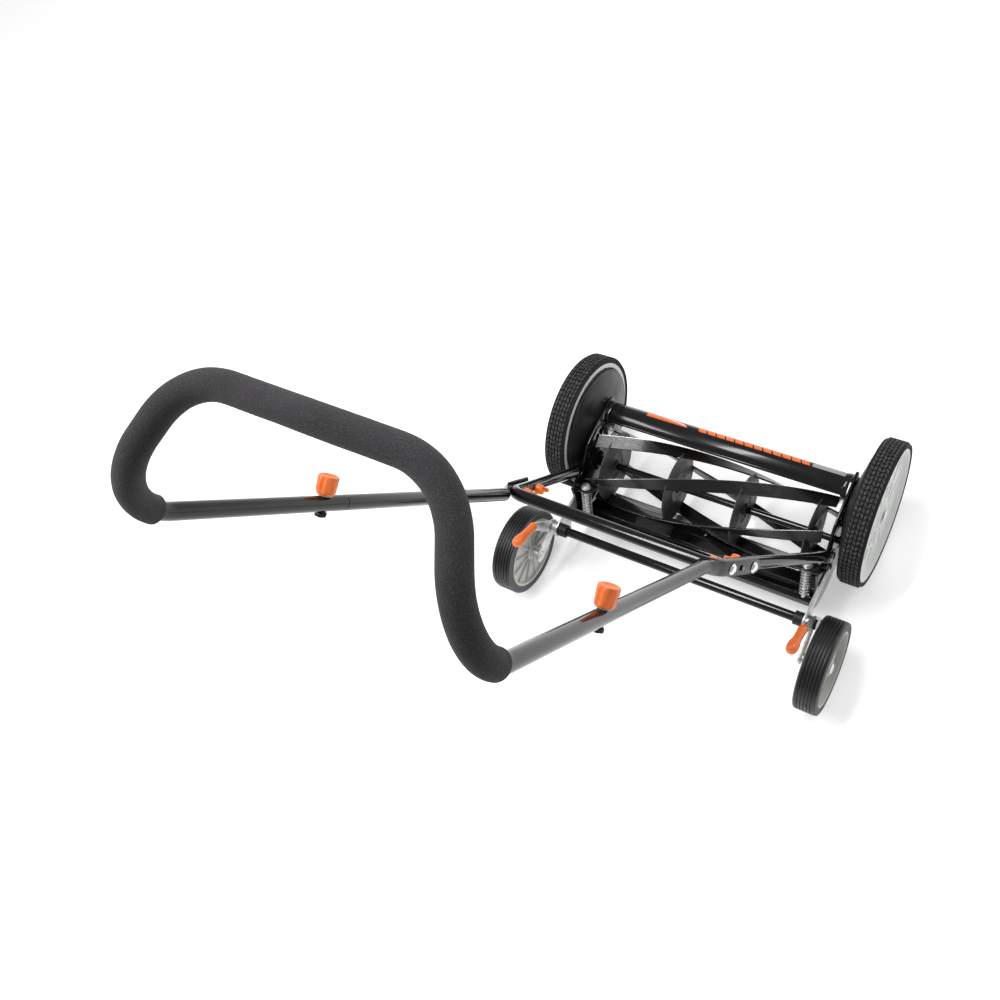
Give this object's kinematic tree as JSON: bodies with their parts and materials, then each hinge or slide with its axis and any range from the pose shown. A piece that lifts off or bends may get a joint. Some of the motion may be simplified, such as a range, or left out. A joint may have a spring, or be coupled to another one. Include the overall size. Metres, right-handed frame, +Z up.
{
  "type": "reel mower",
  "caption": "Push reel mower with a helical blade reel geared to its main wheels, height-adjusted rear wheels and a folding loop handle with a foam grip.",
  "frame": {"origin": "on the floor, in the middle of the footprint of the whole machine, handle included", "axes": "+X to the right seen from behind, +Y the way it mows, +Z up; the handle rises back towards -Y"},
  "size_m": [0.608, 0.7866, 1.1284],
  "materials": {
    "black_gloss_paint": "black gloss enamel over steel",
    "zinc_plate": "bright zinc plate",
    "dark_steel": "oiled dark steel",
    "spring_steel": "bright spring steel",
    "bolt_steel": "polished plated steel",
    "tyre_rubber": "matte dark grey rubber",
    "ribbed_rubber": "black satin rubber with ribs",
    "grey_plastic": "light grey moulded plastic",
    "black_plastic": "black moulded plastic",
    "orange_plastic": "orange moulded plastic",
    "foam": "charcoal speckled foam"
  },
  "bodies": {
    "frame": {"top_guard": "black_gloss_paint", "cutter_bar": "black_gloss_paint", "bed_knife": "dark_steel", "rear_rod": "black_gloss_paint", "right_side_plate": "black_gloss_paint", "right_adjuster_spring": "spring_steel", "right_gear_cover": "black_plastic", "right_axle": "zinc_plate", "right_reel_bearing": "black_gloss_paint", "right_index_plate": "zinc_plate", "right_rod_bushing": "black_plastic", "left_side_plate": "black_gloss_paint", "left_adjuster_spring": "spring_steel", "left_gear_cover": "black_plastic", "left_axle": "zinc_plate", "left_reel_bearing": "black_gloss_paint", "left_index_plate": "zinc_plate", "left_rod_bushing": "black_plastic"},
    "right_main_wheel": {"right_wheel": "grey_plastic", "right_tyre": "tyre_rubber"},
    "left_main_wheel": {"left_wheel": "grey_plastic", "left_tyre": "tyre_rubber"},
    "right_pinion_gear": {"right_pinion": "dark_steel"},
    "left_pinion_gear": {"left_pinion": "dark_steel"},
    "reel": {"reel_shaft": "black_gloss_paint", "spider_1": "dark_steel", "spider_2": "dark_steel", "spider_3": "dark_steel", "spider_4": "dark_steel", "reel_blade_1": "black_gloss_paint", "reel_blade_2": "black_gloss_paint", "reel_blade_3": "black_gloss_paint", "reel_blade_4": "black_gloss_paint", "reel_blade_5": "black_gloss_paint"},
    "right_height_lever": {"right_height_arm": "zinc_plate", "right_lever_grip": "orange_plastic"},
    "right_rear_roller": {"right_rear_wheel": "grey_plastic", "right_rear_tyre": "ribbed_rubber"},
    "left_height_lever": {"left_height_arm": "zinc_plate", "left_lever_grip": "orange_plastic"},
    "left_rear_roller": {"left_rear_wheel": "grey_plastic", "left_rear_tyre": "ribbed_rubber"},
    "handle": {"yoke": "black_gloss_paint", "upper_handle": "black_gloss_paint", "foam_grip": "foam", "right_lower_tube": "black_gloss_paint", "right_front_bolt": "bolt_steel", "right_rear_bolt": "bolt_steel", "left_lower_tube": "black_gloss_paint", "left_front_bolt": "bolt_steel", "left_rear_bolt": "bolt_steel"},
    "right_knob": {"right_clamp_knob": "orange_plastic"},
    "left_knob": {"left_clamp_knob": "orange_plastic"},
    "right_front_nut": {"right_front_wing_nut": "orange_plastic"},
    "right_rear_nut": {"right_rear_wing_nut": "orange_plastic"},
    "left_front_nut": {"left_front_wing_nut": "orange_plastic"},
    "left_rear_nut": {"left_rear_wing_nut": "orange_plastic"},
    "right_adjuster": {"right_adjuster_screw": "zinc_plate"},
    "left_adjuster": {"left_adjuster_screw": "zinc_plate"}
  },
  "joints": [
    {"name": "right_wheel_roll", "type": "hinge", "parent": "frame", "child": "right_main_wheel", "pos_m": [0.2735, 0.26633, 0.127], "axis": [1, 0, 0], "continuous": true},
    {"name": "left_wheel_roll", "type": "hinge", "parent": "frame", "child": "left_main_wheel", "pos_m": [-0.2735, 0.26633, 0.127], "axis": [1, 0, 0], "continuous": true},
    {"name": "right_pinion_spin", "type": "hinge", "parent": "frame", "child": "right_pinion_gear", "pos_m": [0.27, 0.21221, 0.09474], "axis": [1, 0, 0], "continuous": true},
    {"name": "left_pinion_spin", "type": "hinge", "parent": "frame", "child": "left_pinion_gear", "pos_m": [-0.27, 0.21221, 0.09474], "axis": [1, 0, 0], "continuous": true},
    {"name": "reel_spin", "type": "hinge", "parent": "frame", "child": "reel", "pos_m": [0, 0.21221, 0.09474], "axis": [1, 0, 0], "continuous": true},
    {"name": "right_height_pivot", "type": "hinge", "parent": "frame", "child": "right_height_lever", "pos_m": [0.2483, 0.05633, 0.097], "axis": [1, 0, 0], "range_deg": [-14, 21]},
    {"name": "right_rear_roll", "type": "hinge", "parent": "right_height_lever", "child": "right_rear_roller", "pos_m": [0.284, 0.00129, 0.08], "axis": [1, 0, 0], "continuous": true},
    {"name": "left_height_pivot", "type": "hinge", "parent": "frame", "child": "left_height_lever", "pos_m": [-0.2483, 0.05633, 0.097], "axis": [1, 0, 0], "range_deg": [-14, 21]},
    {"name": "left_rear_roll", "type": "hinge", "parent": "left_height_lever", "child": "left_rear_roller", "pos_m": [-0.284, 0.00129, 0.08], "axis": [1, 0, 0], "continuous": true},
    {"name": "handle_lift", "type": "hinge", "parent": "frame", "child": "handle", "pos_m": [0, 0.17033, 0.123], "axis": [-1, 0, 0], "range_deg": [0, 25]},
    {"name": "right_knob_turn", "type": "hinge", "parent": "handle", "child": "right_knob", "pos_m": [0.17675, -0.25785, 0.80822], "axis": [0, 0.848, 0.5299], "range_deg": [0, 720]},
    {"name": "left_knob_turn", "type": "hinge", "parent": "handle", "child": "left_knob", "pos_m": [-0.17675, -0.25785, 0.80822], "axis": [0, 0.848, 0.5299], "range_deg": [0, 720]},
    {"name": "right_front_nut_turn", "type": "hinge", "parent": "handle", "child": "right_front_nut", "pos_m": [0.17696, 0.00446, 0.38844], "axis": [0.9815, -0.1014, 0.1623], "range_deg": [0, 720]},
    {"name": "right_rear_nut_turn", "type": "hinge", "parent": "handle", "child": "right_rear_nut", "pos_m": [0.16467, -0.02892, 0.44187], "axis": [0.9815, -0.1014, 0.1623], "range_deg": [0, 720]},
    {"name": "left_front_nut_turn", "type": "hinge", "parent": "handle", "child": "left_front_nut", "pos_m": [-0.17696, 0.00446, 0.38844], "axis": [-0.9815, -0.1014, 0.1623], "range_deg": [0, 720]},
    {"name": "left_rear_nut_turn", "type": "hinge", "parent": "handle", "child": "left_rear_nut", "pos_m": [-0.16467, -0.02892, 0.44187], "axis": [-0.9815, -0.1014, 0.1623], "range_deg": [0, 720]},
    {"name": "right_adjuster_turn", "type": "hinge", "parent": "frame", "child": "right_adjuster", "pos_m": [0.209, 0.13433, 0.132], "axis": [0, 0.3256, 0.9455], "range_deg": [-360, 360]},
    {"name": "left_adjuster_turn", "type": "hinge", "parent": "frame", "child": "left_adjuster", "pos_m": [-0.209, 0.13433, 0.132], "axis": [0, 0.3256, 0.9455], "range_deg": [-360, 360]}
  ],
  "couplings": [
    {"joint": "right_pinion_spin", "follows": "right_wheel_roll", "ratio": 4.5},
    {"joint": "left_pinion_spin", "follows": "left_wheel_roll", "ratio": 4.5},
    {"joint": "reel_spin", "follows": "left_wheel_roll", "ratio": 4.5}
  ]
}
